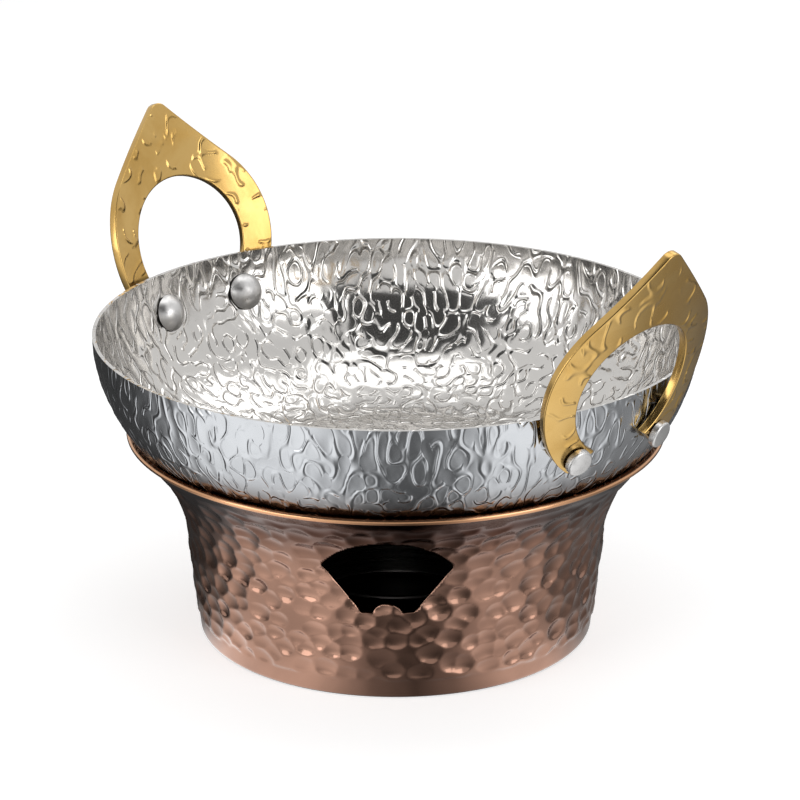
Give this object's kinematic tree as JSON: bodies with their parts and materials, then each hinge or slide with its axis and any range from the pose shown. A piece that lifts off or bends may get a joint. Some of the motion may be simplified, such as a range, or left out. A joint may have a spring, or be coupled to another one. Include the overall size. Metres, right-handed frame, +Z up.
{
  "type": "table stove with serving pan",
  "caption": "Round two-handled serving pan on a flared, hammered table stove with a front window and a fuel cup inside.",
  "frame": {"origin": "middle of the underside, where the stove stands", "axes": "+Z up along the stove's and the pan's common axis, -Y out through the stove's window, +X to the right as seen from the window side"},
  "size_m": [0.2204, 0.22, 0.1734],
  "materials": {
    "hammered_copper": "copper tone, hammered, polished",
    "dark_sheet": "dark, satin",
    "cup_steel": "satin",
    "embossed_steel": "embossed, polished",
    "handle_brass": "embossed, polished",
    "rivet_steel": "polished"
  },
  "bodies": {
    "stove": {"stove_shell": "hammered_copper", "base_plate": "dark_sheet"},
    "burner": {"fuel_cup": "cup_steel"},
    "pan": {"pan_bowl": "embossed_steel", "handle_left": "handle_brass", "handle_right": "handle_brass", "rivet_left_a": "rivet_steel", "rivet_left_b": "rivet_steel", "rivet_right_a": "rivet_steel", "rivet_right_b": "rivet_steel"}
  },
  "joints": [
    {"name": "pan_lift", "type": "slide", "parent": "stove", "child": "pan", "axis": [0, 0, 1], "range_m": [0, 0.12]},
    {"name": "cup_lift", "type": "slide", "parent": "stove", "child": "burner", "axis": [0, 0, 1], "range_m": [0, 0.03]}
  ]
}
